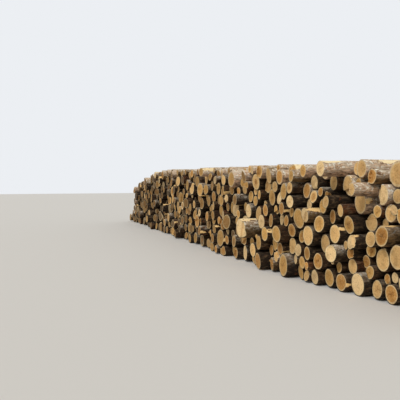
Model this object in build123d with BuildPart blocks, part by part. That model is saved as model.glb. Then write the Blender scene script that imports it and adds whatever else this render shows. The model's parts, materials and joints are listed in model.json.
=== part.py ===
from build123d import *
import math
import os
import random

# The heap, in millimetres: +X runs along the cut ends to the near end, +Y runs into the heap
crest_height = 1800.0
heap_length = 16200.0
near_slope_run = 1500.0
far_slope_run = 1100.0
far_shoulder_height = 1330.0
far_shoulder_run = 2700.0
crest_play = 45.0

# The logs: sawlogs in one stock length, cut ends in a ragged row
log_length = 3750.0
length_play = 45.0
end_play = 62.0
largest_reach = 300.0
near_set_back = 400.0
near_set_back_run = 2500.0
near_set_back_from = 4550.0
smallest_diameter = 150.0
usual_diameter = 215.0
largest_diameter = 335.0
least_taper = 6.0
most_taper = 11.0
butt_collar = 260.0
butt_first_share = 0.62

# Saw cuts, in degrees: no cut is quite square
near_cut_turn = 6.5
far_cut_turn = -5.0
cut_turn_play = 4.5
cut_nod_play = 3.5
largest_cut_angle = 13.0
cut_allowance = 80.0
felling_bevel_share = 0.16
felling_bevel_angle = 48.0
felling_bevel_depth = 0.15

# Clearance between two logs at the place where one lies on the other
rest_gap = 0.3

# Fitting the logs together
sampling = 100.0
settle_window = 260.0
snap_reach = 60.0
loose_reach = 230.0
shade_share = 0.82
standout_crest_play = 110.0
tries_per_place = 7
sideways_share = 0.4
wedge_diameter = 135.0
wedge_steps = 5
seed = 2

# Where a person stands who sees the standout logs as they are listed
viewer_beyond_near_toe = 3700.0
viewer_from_face = 4120.0
eye_height = 1600.0

# Nodes: the heap is told apart in bays along its face, each with a lower and an upper part
bay_count = 12
upper_from = 880.0

# Logs that stand out on the face, as seen from the viewpoint against the line of cut ends:
# distance from the near toe, height of the axis, diameter, and how far the end stands out
standout_logs = (
    (1860, 1650, 355, 60),
    (2330, 1600, 225, 20),
    (2490, 1710, 260, 100),
    (1850, 1340, 210, -40),
    (2140, 1360, 285, 20),
    (2480, 1300, 325, 60),
    (2210, 1140, 190, 0),
    (1980, 1150, 245, 20),
    (2700, 950, 280, 80),
    (2340, 900, 225, 0),
    (2160, 860, 300, 100),
    (2690, 690, 220, 90),
    (2280, 690, 195, -40),
    (2590, 350, 245, 50),
    (2120, 490, 350, 60),
    (1850, 650, 345, 60),
    (2530, 165, 330, 50),
    (2200, 140, 260, 0),
    (1950, 160, 270, 10),
    (2830, 140, 280, 60),
    (2800, 1490, 205, 270),
    (2960, 1550, 245, -40),
    (3120, 1570, 265, 0),
    (3370, 1700, 245, 190),
    (3200, 1330, 215, 240),
    (3540, 1410, 250, 40),
    (3180, 1070, 240, 0),
    (3000, 1050, 225, 40),
    (3300, 910, 285, 60),
    (2970, 780, 290, 60),
    (3140, 690, 305, -20),
    (3550, 690, 335, 60),
    (3080, 450, 275, 200),
    (3310, 400, 280, 40),
    (3670, 340, 210, 0),
    (3050, 160, 280, 0),
    (3370, 160, 250, 20),
    (3550, 120, 190, 0),
    (3760, 1000, 345, -20),
    (3650, 1070, 245, 170),
    (3930, 990, 185, 0),
    (3930, 760, 235, 0),
    (3770, 520, 210, 0),
    (4010, 1630, 215, 180),
    (4020, 1280, 235, 150),
    (4180, 1440, 305, 60),
    (4230, 1180, 230, 30),
    (4410, 670, 300, 40),
    (4260, 450, 220, 0),
    (4180, 200, 400, 110),
    (4810, 580, 275, 60),
    (4940, 830, 275, 20),
    (4780, 990, 225, 0),
    (5300, 320, 275, 60),
    (5890, 610, 390, 260),
    (5730, 1670, 245, 60),
    (6340, 1600, 330, 60),
    (6600, 710, 345, 40),
    (6820, 1400, 255, 90),
    (6890, 1190, 260, 60),
    (6940, 320, 400, 60),
    (8190, 1720, 220, 230),
    (8880, 1350, 325, 60),
)

near_toe = 0.0
far_toe = -heap_length


def outline(x):
    """Height of the heap above a place along its face."""
    near_side = crest_height * (near_toe - x) / near_slope_run
    far_side = far_shoulder_height * (x - far_toe) / far_slope_run
    beyond_slope = x - far_toe - far_slope_run
    shoulder_rise = (crest_height - far_shoulder_height) / far_shoulder_run
    shoulder = far_shoulder_height + shoulder_rise * beyond_slope
    return min(crest_height, near_side, max(0.0, min(far_side, shoulder)))


def face_line(x):
    """How far the row of cut ends stands back from its foremost line."""
    past = near_set_back_from - (near_toe - x)
    share = max(0.0, min(1.0, past / near_set_back_run))
    return near_set_back * share ** 1.5


class Log:
    """A straight tapered log that lies along Y, with an even collar at its butt end."""

    def __init__(self, diameter, x, reach, chance):
        self.chance = chance
        self.length = log_length + chance.uniform(-length_play, length_play)
        self.slope = chance.uniform(least_taper, most_taper) / 2000
        self.butt_first = chance.random() < butt_first_share
        drop = self.slope * (self.length - butt_collar)
        self.butt_radius = diameter / 2 if self.butt_first else diameter / 2 + drop
        self.x = x
        self.z = self.butt_radius
        self.crest_play = crest_play
        self.stand_out(reach)

    def stand_out(self, reach):
        """Push the log along its axis until its cut end stands this far out of the face."""
        self.front = face_line(self.x) - reach
        self.back = self.front + self.length

    def radius_at(self, y):
        """Radius at a distance into the heap."""
        from_butt = y - self.front if self.butt_first else self.back - y
        return self.butt_radius - self.slope * max(0.0, from_butt - butt_collar)

    def collar_edge(self):
        """Where the collar ends and the taper begins."""
        return self.front + butt_collar if self.butt_first else self.back - butt_collar

    def put(self, place):
        """Lay the log at a place, given as the x and z of its axis."""
        self.x, self.z = place


def spacing(log, other):
    """Distance of two axes that leaves the rest gap at the tightest place along both logs."""
    start = max(log.front, other.front) - cut_allowance
    end = min(log.back, other.back) + cut_allowance
    places = [start, end, log.collar_edge(), other.collar_edge()]
    return rest_gap + max(log.radius_at(y) + other.radius_at(y) for y in places if start <= y <= end)


def pocket(left, right, from_left, from_right):
    """Place of an axis above two supports, or None where it would not lie between them."""
    across, rise = right.x - left.x, right.z - left.z
    apart = math.hypot(across, rise)
    if apart >= from_left + from_right or apart == 0:
        return None
    along = (from_left ** 2 - from_right ** 2 + apart ** 2) / (2 * apart)
    off_squared = from_left ** 2 - along ** 2
    if off_squared < 0:
        return None
    off = math.sqrt(off_squared)
    x = left.x + (along * across - off * rise) / apart
    z = left.z + (along * rise + off * across) / apart
    return (x, z) if left.x < x < right.x else None


def rests(log, pile, low, high):
    """Every free place between two bounds where the log would lie still."""
    margin = largest_diameter + settle_window
    near = [(other, spacing(log, other)) for other in pile if low - margin < other.x < high + margin]
    radius = log.butt_radius
    places = []
    for other, apart in near:
        rise = other.z - radius
        if abs(rise) < apart:
            across = math.sqrt(apart ** 2 - rise ** 2)
            places.append((other.x - across, radius))
            places.append((other.x + across, radius))
    if not near:
        places.append(((low + high) / 2, radius))
    for index, (left, from_left) in enumerate(near):
        for right, from_right in near[index + 1:]:
            if abs(right.x - left.x) < from_left + from_right:
                ordered = (left, right, from_left, from_right)
                if left.x > right.x:
                    ordered = (right, left, from_right, from_left)
                place = pocket(*ordered)
                if place:
                    places.append(place)
    slack = rest_gap / 100
    return [
        place for place in places
        if low <= place[0] <= high
        and all(math.dist(place, (other.x, other.z)) >= apart - slack for other, apart in near)
        and fits_outline(log, place)
    ]


def fits_outline(log, place):
    """Whether a log at this place stays inside the outline of the heap."""
    x, z = place
    radius = log.butt_radius
    inside = far_toe + radius <= x <= near_toe - radius
    return inside and z + radius <= max(outline(x) + log.crest_play, 2 * radius)


class Standout:
    """A log of the list, and the place that a person at the viewpoint sees it in."""

    def __init__(self, from_near, height, diameter, reach):
        self.seen_x = near_toe - from_near
        self.viewer_x = near_toe + viewer_beyond_near_toe
        self.distance = viewer_from_face + face_line(self.seen_x)
        self.reach = reach
        nearer = 1 - reach / self.distance
        self.x = self.viewer_x + (self.seen_x - self.viewer_x) * nearer
        self.z = max(diameter / 2, eye_height + (height - eye_height) * nearer)
        chance = random.Random(f"{seed} {from_near} {height}")
        self.log = Log(diameter * nearer, self.x, reach, chance)
        self.log.crest_play = standout_crest_play

    def miss(self, place):
        """How far a place is off, counting less along the face, where the reach makes up for it."""
        return math.hypot((place[0] - self.x) * sideways_share, place[1] - self.z)

    def reach_at(self, x):
        """Reach that shows the cut end in its seen place from another place along the face."""
        nearer = (x - self.viewer_x) / (self.seen_x - self.viewer_x)
        reach = (1 - nearer) * self.distance
        return max(-largest_reach, min(largest_reach, reach))

    def settle(self, pile):
        """Lay the log in the free place that suits it best, and say how far that is off."""
        best = (self.x, self.z)
        reach = self.reach
        for attempt in range(2):
            self.log.x = best[0]
            self.log.stand_out(reach)
            low, high = self.x - loose_reach, self.x + loose_reach
            places = rests(self.log, pile, low, high)
            if not places:
                return math.inf
            best = min(places, key=self.miss)
            reach = self.reach_at(best[0])
        self.log.put(best)
        return self.miss(best)


def shades(log, place, waiting):
    """Whether a log here would take the room of one that is still to come."""
    return any(
        math.dist((wanted.x, wanted.z), place) < shade_share * (log.butt_radius + wanted.log.butt_radius)
        for wanted in waiting
    )


class Skyline:
    """Upper edge of the pile, sampled along the face."""

    def __init__(self):
        self.xs = [far_toe + sampling * (index + 0.5) for index in range(int(heap_length // sampling))]
        self.heights = [0.0] * len(self.xs)
        self.closed = [False] * len(self.xs)
        self.visits = [0] * len(self.xs)

    def lowest(self):
        """Lowest open place that still has room under the outline, or None."""
        open_cells = [
            (height, x, index)
            for index, (x, height) in enumerate(zip(self.xs, self.heights))
            if not self.closed[index] and outline(x) + crest_play - height > smallest_diameter / 2
        ]
        return min(open_cells) if open_cells else None

    def cover(self, log):
        """Raise the edge over a new log, and open the places beside it again."""
        for index, x in enumerate(self.xs):
            off = abs(x - log.x)
            if off < log.butt_radius:
                top = log.z + math.sqrt(log.butt_radius ** 2 - off ** 2)
                self.heights[index] = max(self.heights[index], top)
            if off < settle_window:
                self.closed[index] = False


def random_diameter(chance):
    """Diameter of one more log from the same stand."""
    return chance.triangular(smallest_diameter, largest_diameter, usual_diameter)


def random_reach(chance):
    """How far one more log stands out of the face."""
    return max(-largest_reach, min(largest_reach, chance.gauss(0, end_play)))


def filler(cell_x, pile, waiting, chance):
    """One more log in the lowest pocket that takes no waiting log's room, or None."""
    for attempt in range(tries_per_place):
        diameter = smallest_diameter
        if attempt < tries_per_place - 1:
            diameter = random_diameter(chance)
        log = Log(diameter, cell_x, random_reach(chance), chance)
        places = [
            place for place in rests(log, pile, cell_x - settle_window, cell_x + settle_window)
            if not shades(log, place, waiting)
        ]
        if places:
            log.put(min(places, key=lambda place: place[1] + abs(place[0] - cell_x) / 4))
            return log
    return None


def next_standout(cell_x, height, pile, waiting, within):
    """The waiting log that can lie closest to its place here, if one can within a distance."""
    best = None
    for wanted in waiting:
        beside = abs(wanted.x - cell_x) < settle_window + loose_reach
        if beside and wanted.z < height + largest_diameter + within:
            miss = wanted.settle(pile)
            if miss <= within and (best is None or miss < best[0]):
                best = (miss, wanted)
    return best[1] if best else None


def wedge_logs(skyline, pile):
    """Lay thinner logs in the hollows that are left inside the heap."""
    for step in range(wedge_steps):
        diameter = usual_diameter - (usual_diameter - wedge_diameter) * step / (wedge_steps - 1)
        for index, x in enumerate(skyline.xs):
            chance = random.Random(f"{seed} wedge {step} {index}")
            log = Log(diameter, x, random_reach(chance), chance)
            places = rests(log, pile, x - sampling / 2, x + sampling / 2)
            if places:
                log.put(min(places, key=lambda place: place[1]))
                pile.append(log)


def stack_logs():
    """Lay every log, always at the lowest open place, until the outline is full."""
    listed = [Standout(*row) for row in standout_logs]
    waiting = [wanted for wanted in listed if wanted.z < outline(wanted.x)]
    pile = []
    skyline = Skyline()
    cell = skyline.lowest()
    while cell:
        height, cell_x, index = cell
        skyline.visits[index] += 1
        chance = random.Random(f"{seed} {index} {skyline.visits[index]}")
        found = next_standout(cell_x, height, pile, waiting, snap_reach)
        log = None if found else filler(cell_x, pile, waiting, chance)
        if not found and not log:
            found = next_standout(cell_x, height, pile, waiting, loose_reach)
        if found:
            waiting.remove(found)
            found.settle(pile)
            log = found.log
        if log:
            pile.append(log)
            skyline.cover(log)
        else:
            skyline.closed[index] = True
        cell = skyline.lowest()
    wedge_logs(skyline, pile)
    return pile


def cut_plane(log, y, turn, nod):
    """Plane of a saw cut, facing into the heap."""
    direction = (math.tan(math.radians(turn)), 1, math.tan(math.radians(nod)))
    return Plane(origin=(log.x, y, log.z), z_dir=direction)


def cut_angles(log):
    """Turn and nod of one saw cut, with the lean that the cuts take along the face."""
    share = (log.x - far_toe) / heap_length
    turn = far_cut_turn + (near_cut_turn - far_cut_turn) * share + log.chance.gauss(0, cut_turn_play)
    nod = log.chance.gauss(0, cut_nod_play)
    limit = largest_cut_angle
    return max(-limit, min(limit, turn)), max(-limit, min(limit, nod))


def bevel_plane(log):
    """Plane of the felling notch that slants off one edge of the butt."""
    around = log.chance.uniform(0, 2 * math.pi)
    side = Vector(math.cos(around), 0, math.sin(around))
    radius = log.butt_radius
    angle = math.radians(felling_bevel_angle)
    start = side * (radius * (1 - 2 * felling_bevel_depth))
    direction = side * -math.sin(angle) + Vector(0, math.cos(angle), 0)
    return Plane(origin=Vector(log.x, log.front, log.z) + start, z_dir=direction)


def log_solid(log):
    """One log, turned about its axis and sawn at both ends."""
    start = log.front - cut_allowance
    end = log.back + cut_allowance
    collar = log.collar_edge()
    with BuildPart() as body:
        with BuildSketch(Plane(origin=(log.x, 0, log.z))):
            with BuildLine():
                Polyline(
                    (0, start),
                    (log.radius_at(start), start),
                    (log.radius_at(collar), collar),
                    (log.radius_at(end), end),
                    (0, end),
                    close=True,
                )
            make_face()
        revolve(axis=Axis((log.x, 0, log.z), (0, 1, 0)))
        split(bisect_by=cut_plane(log, log.front, *cut_angles(log)), keep=Keep.TOP)
        split(bisect_by=cut_plane(log, log.back, *cut_angles(log)), keep=Keep.BOTTOM)
        if log.butt_first and log.chance.random() < felling_bevel_share:
            split(bisect_by=bevel_plane(log), keep=Keep.TOP)
    return body.part.solid()


def bay_name(log, low, width):
    """Name of the node that a log belongs to, counted from the near end."""
    bay = bay_count - int((log.x - low) / width)
    level = "upper" if log.z >= upper_from else "lower"
    return f"bay_{bay:02d}_{level}_logs"


os.makedirs("parts", exist_ok=True)

pile = sorted(stack_logs(), key=lambda log: (log.x, log.z))
solids = [log_solid(log) for log in pile]
around = Compound(solids).bounding_box()
centring = Location((-around.center().X, -around.center().Y, 0))
low = pile[0].x - 1
bay_width = (pile[-1].x + 1 - low) / bay_count

bays = {}
for log, solid in zip(pile, solids):
    bays.setdefault(bay_name(log, low, bay_width), []).append(solid)

for name, members in sorted(bays.items()):
    with BuildPart() as bay:
        with Locations(centring):
            add(members)
    bay.part.label = name
    export_step(bay.part, f"parts/{name}.step")

print(len(pile), "logs in", len(bays), "nodes, size", around.size)
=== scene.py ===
"""Looks of a heap of unpeeled pine sawlogs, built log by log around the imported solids."""

import json
import logging
import math
import random
from collections.abc import Callable
from dataclasses import dataclass, field
from enum import Enum

import bmesh
import bpy
import numpy as np
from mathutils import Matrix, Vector

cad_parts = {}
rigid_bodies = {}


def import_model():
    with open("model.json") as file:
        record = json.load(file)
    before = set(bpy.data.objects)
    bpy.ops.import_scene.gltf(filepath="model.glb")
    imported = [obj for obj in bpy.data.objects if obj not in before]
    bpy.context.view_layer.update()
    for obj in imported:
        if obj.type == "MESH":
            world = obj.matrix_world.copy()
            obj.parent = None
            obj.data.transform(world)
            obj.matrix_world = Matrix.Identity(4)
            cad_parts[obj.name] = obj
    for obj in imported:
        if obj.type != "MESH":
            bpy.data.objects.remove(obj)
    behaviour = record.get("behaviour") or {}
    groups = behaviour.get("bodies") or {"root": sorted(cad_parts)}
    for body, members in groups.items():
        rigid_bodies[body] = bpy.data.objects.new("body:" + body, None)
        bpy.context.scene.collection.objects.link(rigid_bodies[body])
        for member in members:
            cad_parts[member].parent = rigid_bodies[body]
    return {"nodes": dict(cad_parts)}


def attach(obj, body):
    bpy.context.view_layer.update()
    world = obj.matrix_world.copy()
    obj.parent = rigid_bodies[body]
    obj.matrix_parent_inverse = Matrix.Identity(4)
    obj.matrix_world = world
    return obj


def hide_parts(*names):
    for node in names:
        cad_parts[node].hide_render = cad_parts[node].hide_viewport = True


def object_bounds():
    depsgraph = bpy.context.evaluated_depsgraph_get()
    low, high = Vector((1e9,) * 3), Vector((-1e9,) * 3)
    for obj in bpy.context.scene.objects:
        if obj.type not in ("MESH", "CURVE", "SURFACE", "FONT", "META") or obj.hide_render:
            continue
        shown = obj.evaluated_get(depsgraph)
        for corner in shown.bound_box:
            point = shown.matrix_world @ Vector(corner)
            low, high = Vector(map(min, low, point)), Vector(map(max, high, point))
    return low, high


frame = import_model()
CAD_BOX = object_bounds()

logging.basicConfig(level=logging.INFO, format="%(message)s")
LOG = logging.getLogger("heap_of_logs")

Array = np.ndarray
Colour = tuple[float, float, float, float]
Socket = bpy.types.NodeSocket
FULL_TURN = 2.0 * math.pi

# How far the heap's near toe and the line of its face lie from the sides of the box, in metres
TOE_PAST_BOX = 0.0254
FACE_IN_BOX = 0.2683
NEAR_TOE_X = CAD_BOX[1][0] + TOE_PAST_BOX
FACE_LINE_Y = CAD_BOX[0][1] + FACE_IN_BOX

# Length of a modelled log, and the share of its radius at which the bark begins
STEM_LENGTH = 3.75
BARK_EDGE = 0.93

# Reading a log's measures from its solid
MERGE_STEP = 1e-5
MERGE_KEY = 3_000_017
LEVEL_DECIMALS = 4
PLACE_DECIMALS = 3
RING_REACH = 2e-4
OFF_RING = 1e-3
SMALLEST_AREA = 1e-12
FLAT_MATCH = 0.9995
END_FACING = 0.5
SMALLEST_CUT_SHARE = 0.02

# Picking the parts of a pattern, whose radius is 1
LEVEL_REACH = 1e-4
RAY_REACH = 2e-3
BEFORE_HEART = -1e-3
PAST_HEART = 0.02
STEP_REACH = 1e-3
BEYOND = 2.0
SAWN_FACING = 0.3

# Open sky: the ways to look up in degrees, where a look starts, and the share that leaves a log open
SKY_WAYS = tuple(range(10, 171, 20))
SKY_START = 0.02
OPEN_SKY = 0.3


def linear(red: int, green: int, blue: int) -> Colour:
    """Turn a colour as it is seen, from 0 to 255, into the linear one that a shader takes."""
    shares = (red / 255.0, green / 255.0, blue / 255.0)
    return (*(s / 12.92 if s <= 0.04045 else ((s + 0.055) / 1.055) ** 2.4 for s in shares), 1.0)


def take_up(*things: bpy.types.Object) -> None:
    """Select some objects and nothing else, and make the first of them active.

    Args:
        things: The objects to work on, if any.
    """
    for other in bpy.context.view_layer.objects:
        other.select_set(other in things)
    bpy.context.view_layer.objects.active = things[0] if things else None


def read(items: bpy.types.bpy_prop_collection, name: str, width: int = 1, kind: type = np.int64) -> Array:
    """Read one property of all items of a mesh.

    Args:
        items: Its vertices, corners, faces or triangles.
        name: The property.
        width: How many numbers each item has.
        kind: Type of the numbers.

    Returns:
        The numbers, in a row for each item if it has more than one.
    """
    values = np.zeros(len(items) * width, dtype=kind)
    items.foreach_get(name, values)
    return values.reshape(-1, width) if width > 1 else values


class EndKind(Enum):
    """How a log's sawn end turned out."""

    PLAIN = "plain"
    CHECKED = "checked"
    STEPPED = "stepped"
    TORN = "torn"


class Grade(Enum):
    """How finely a log is modelled, by how much of it can be seen."""

    SHOWN = "shown"
    COMMON = "common"


@dataclass(frozen=True)
class SawCut:
    """One flat cut across a log.

    Attributes:
        normal: Outward direction of the cut.
        offset: Distance of the cut from the origin along that direction.
    """

    normal: tuple[float, float, float]
    offset: float

    def along(self, x: Array | float, z: Array | float) -> Array | float:
        """Return how far along the heap's depth the cut lies at a place."""
        return (self.offset - self.normal[0] * x - self.normal[2] * z) / self.normal[1]


@dataclass(frozen=True)
class Stem:
    """The measures of one log, read from its solid.

    Attributes:
        node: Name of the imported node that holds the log.
        x: Place of the log's axis along the heap.
        z: Height of the log's axis.
        collar_y: Where the even collar of the butt ends and the taper begins.
        collar_radius: Radius there.
        front_slope: Change of radius per metre in front of the collar.
        back_slope: Change of radius per metre behind the collar.
        front_cuts: The cuts of the front end.
        back_cuts: The cuts of the back end.
    """

    node: str
    x: float
    z: float
    collar_y: float
    collar_radius: float
    front_slope: float
    back_slope: float
    front_cuts: tuple[SawCut, ...]
    back_cuts: tuple[SawCut, ...]

    def radius(self, y: Array | float) -> Array:
        """Return the log's radius at places along it."""
        ahead, behind = np.minimum(y - self.collar_y, 0.0), np.maximum(y - self.collar_y, 0.0)
        return self.collar_radius + ahead * self.front_slope + behind * self.back_slope

    def front(self, x: Array | float, z: Array | float) -> Array:
        """Return where the front end's surface lies at a place."""
        return np.maximum.reduce([cut.along(x, z) for cut in self.front_cuts])

    def back(self, x: Array | float, z: Array | float) -> Array:
        """Return where the back end's surface lies at a place."""
        return np.minimum.reduce([cut.along(x, z) for cut in self.back_cuts])


@dataclass
class StemReader:
    """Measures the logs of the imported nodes.

    Attributes:
        nodes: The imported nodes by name.
    """

    nodes: dict[str, bpy.types.Object]

    def read_all(self) -> list[Stem]:
        """Return the logs of every node, in the order of the nodes' names."""
        return [stem for name in sorted(self.nodes) for stem in self.read_node(name)]

    def read_node(self, name: str) -> list[Stem]:
        """Measure each log of one node.

        Args:
            name: The node's name.

        Returns:
            Its logs, from near to far and then from low to high.
        """
        mesh = self.nodes[name].data
        points = read(mesh.vertices, "co", 3, np.float64)
        mesh.calc_loop_triangles()
        corners = read(mesh.loop_triangles, "vertices", 3)
        steps = np.round(points / MERGE_STEP).astype(np.int64)
        keys = (steps[:, 0] * MERGE_KEY + steps[:, 1]) * MERGE_KEY + steps[:, 2]
        _, first, merged = np.unique(keys, return_index=True, return_inverse=True)
        points = points[first]
        triangles = merged[corners]
        labels = self.label_islands(len(points), triangles)
        stems = []
        for label in np.unique(labels):
            own = labels[triangles[:, 0]] == label
            stems.append(self.measure(name, points, triangles[own]))
        return sorted(stems, key=lambda stem: (-round(stem.x, PLACE_DECIMALS), stem.z))

    @staticmethod
    def label_islands(count: int, triangles: Array) -> Array:
        """Give every vertex the lowest vertex number of the log that it belongs to.

        Args:
            count: Number of vertices.
            triangles: Vertex numbers of each triangle.

        Returns:
            One label for each vertex.
        """
        labels = np.arange(count)
        while True:
            lowest = labels[triangles].min(axis=1)
            before = labels.copy()
            for corner in range(3):
                np.minimum.at(labels, triangles[:, corner], lowest)
            labels = labels[labels]
            if np.array_equal(before, labels):
                return labels

    def measure(self, name: str, points: Array, triangles: Array) -> Stem:
        """Measure one log.

        Args:
            name: The node's name.
            points: The node's merged vertices.
            triangles: The triangles of this log.

        Returns:
            The log's measures.
        """
        rim = points[np.unique(triangles)]
        levels, counts = np.unique(np.round(rim[:, 1], LEVEL_DECIMALS), return_counts=True)
        collar_y = float(levels[counts.argmax()])
        ring = rim[np.abs(rim[:, 1] - collar_y) < RING_REACH]
        x = float(ring[:, 0].min() + ring[:, 0].max()) / 2.0
        z = float(ring[:, 2].min() + ring[:, 2].max()) / 2.0
        radii = np.hypot(rim[:, 0] - x, rim[:, 2] - z)
        collar_radius = float(np.hypot(ring[:, 0] - x, ring[:, 2] - z).mean())
        slopes = []
        for side in (rim[:, 1] < collar_y - OFF_RING, rim[:, 1] > collar_y + OFF_RING):
            run = rim[side, 1] - collar_y
            slopes.append(float((run * (radii[side] - collar_radius)).sum() / (run * run).sum()))
        a, b, c = (points[triangles[:, corner]] for corner in range(3))
        normals = np.cross(b - a, c - a)
        areas = np.linalg.norm(normals, axis=1)
        keep = areas > SMALLEST_AREA
        normals = normals[keep] / areas[keep][:, None]
        fronts = self.cuts(normals, areas[keep], a[keep], -1.0)
        backs = self.cuts(normals, areas[keep], a[keep], 1.0)
        return Stem(name, x, z, collar_y, collar_radius, slopes[0], slopes[1], fronts, backs)

    @staticmethod
    def cuts(normals: Array, areas: Array, places: Array, way: float) -> tuple[SawCut, ...]:
        """Find the flat cuts at one end of a log.

        Args:
            normals: Normal of each triangle.
            areas: Area of each triangle.
            places: A point of each triangle.
            way: -1 for the front end and 1 for the back end.

        Returns:
            The cuts, the largest first.
        """
        facing = normals[:, 1] * way > END_FACING
        normals, areas, places = normals[facing], areas[facing], places[facing]
        whole = areas.sum()
        found = []
        while len(areas) and areas.sum() > SMALLEST_CUT_SHARE * whole:
            normal = normals[areas.argmax()]
            same = normals @ normal > FLAT_MATCH
            offset = float((places[same] @ normal).mean())
            found.append(SawCut(tuple(float(n) for n in normal), offset))
            normals, areas, places = normals[~same], areas[~same], places[~same]
        return tuple(found)


@dataclass
class LogPattern:
    """A log modelled once, at a radius of 1 and at full length, with its two ends.

    Attributes:
        grade: How finely it is modelled.
        front: Kind of its front end.
        back: Kind of its back end.
        sides: Number of faces round it.
        spans: Number of faces along it.
        rings: Steps of the end's rings, from the bark inwards.
        check_width: Half width of a drying check.
        check_depth: Depth of a drying check in metres.
        step_depth: Depth of a felling step in metres.
        torn_height: How far torn fibres stand out in metres.
        step_line: Height at which a felling step starts, as a share of the radius.
        step_band: Height over which it runs out.
        torn_reach: How far from the heart torn fibres reach.
        fibre_play: How far broken wood strays.
        fibre_seed: Seed of how it strays.
        check_reaches: How far each drying check runs out from the heart.
        thing: The object, once it is being modelled.
    """

    grade: Grade
    front: EndKind
    back: EndKind
    sides: int
    spans: int
    rings: tuple[float, ...] = (0.025, 0.045, 0.15, 0.2, 0.22, 0.2)
    check_width: float = 0.028
    check_depth: float = 0.016
    step_depth: float = 0.03
    torn_height: float = 0.028
    step_line: float = 0.3
    step_band: float = 0.07
    torn_reach: float = 0.9
    fibre_play: float = 0.01
    fibre_seed: int = 3
    check_reaches: tuple[float, ...] = (0.75, 0.5, 0.92, 0.55, 0.35)
    thing: bpy.types.Object | None = None

    def build(self) -> bpy.types.Object:
        """Model the log.

        Returns:
            The pattern's object, hidden from the render.
        """
        take_up()
        bpy.ops.mesh.primitive_cylinder_add(
            vertices=self.sides, radius=1.0, depth=STEM_LENGTH, end_fill_type="NGON",
            location=(0.0, STEM_LENGTH / 2.0, 0.0), rotation=(-math.pi / 2.0, 0.0, 0.0))
        self.thing = bpy.context.view_layer.objects.active
        self.thing.name = f"pattern_{self.grade.value}_{self.front.value}_{self.back.value}"
        bpy.ops.object.transform_apply(location=True, rotation=True, scale=True)
        bpy.ops.object.mode_set(mode="EDIT")
        self.divide_side()
        self.shape_end(0.0, self.front)
        self.shape_end(STEM_LENGTH, self.back)
        bpy.ops.object.mode_set(mode="OBJECT")
        self.mark_faces()
        self.thing.hide_render = True
        return self.thing

    def select(self, kind: str, wanted: Callable[[object], bool]) -> None:
        """Select what a test picks in edit mode, and nothing else.

        Args:
            kind: VERT, EDGE or FACE.
            wanted: The test of one vertex, edge or face.
        """
        bpy.ops.mesh.select_mode(type=kind)
        bpy.ops.mesh.select_all(action="DESELECT")
        shape = bmesh.from_edit_mesh(self.thing.data)
        for item in {"VERT": shape.verts, "EDGE": shape.edges, "FACE": shape.faces}[kind]:
            item.select_set(wanted(item))
        bmesh.update_edit_mesh(self.thing.data)

    @staticmethod
    def level(vert: bmesh.types.BMVert, end: float) -> bool:
        """Tell whether a vertex lies level with an end."""
        return abs(vert.co.y - end) < LEVEL_REACH

    def select_end(self, end: float) -> None:
        """Select the faces of one flat end."""
        self.select("FACE", lambda face: all(self.level(vert, end) for vert in face.verts))

    def divide_side(self) -> None:
        """Divide the side into rings of faces."""
        self.select("EDGE", lambda edge: abs(edge.verts[0].co.y - edge.verts[1].co.y) > STEM_LENGTH / 2.0)
        bpy.ops.mesh.subdivide(number_cuts=self.spans - 1)

    def shape_end(self, end: float, kind: EndKind) -> None:
        """Model the rings and the damage of one sawn end.

        Args:
            end: Where the end lies along the log.
            kind: How the end turned out.
        """
        self.select_end(end)
        for step in self.rings:
            bpy.ops.mesh.inset(thickness=step, depth=0.0)
        bpy.ops.mesh.poke()
        if kind is EndKind.CHECKED:
            self.cut_checks(end)
        if kind in (EndKind.STEPPED, EndKind.TORN):
            self.break_step(end, kind)

    def cut_checks(self, end: float) -> None:
        """Open narrow drying checks that run out from the heart.

        Args:
            end: Where the end lies along the log.
        """
        inward = self.check_depth if end < STEM_LENGTH / 2.0 else -self.check_depth
        count = len(self.check_reaches)
        rays = [(k * self.sides // count + k % 2) * FULL_TURN / self.sides for k in range(count)]
        for ray, reach in zip(rays, self.check_reaches):
            way = Vector((math.cos(ray), 0.0, math.sin(ray)))
            self.select_ray(end, way, reach, "EDGE")
            bpy.ops.mesh.bevel(offset=self.check_width, segments=2, affect="EDGES")
            self.select_ray(end, way, reach, "VERT")
            bpy.ops.transform.translate(value=(0.0, inward, 0.0))

    def select_ray(self, end: float, way: Vector, reach: float, kind: str) -> None:
        """Select what lies on a line from the heart outwards.

        Args:
            end: Where the end lies along the log.
            way: Direction of the line.
            reach: Length of the line.
            kind: EDGE, or VERT for the vertices past the heart.
        """

        def run(vert: bmesh.types.BMVert) -> float:
            """Return how far out along the line a vertex lies."""
            return vert.co.x * way.x + vert.co.z * way.z

        def on_ray(vert: bmesh.types.BMVert) -> bool:
            """Tell whether a vertex lies on the line."""
            beside = abs(vert.co.x * way.z - vert.co.z * way.x)
            return self.level(vert, end) and beside < RAY_REACH and BEFORE_HEART < run(vert) < reach

        if kind == "EDGE":
            self.select(kind, lambda edge: all(on_ray(vert) for vert in edge.verts))
        else:
            self.select(kind, lambda vert: on_ray(vert) and run(vert) > PAST_HEART)

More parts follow.
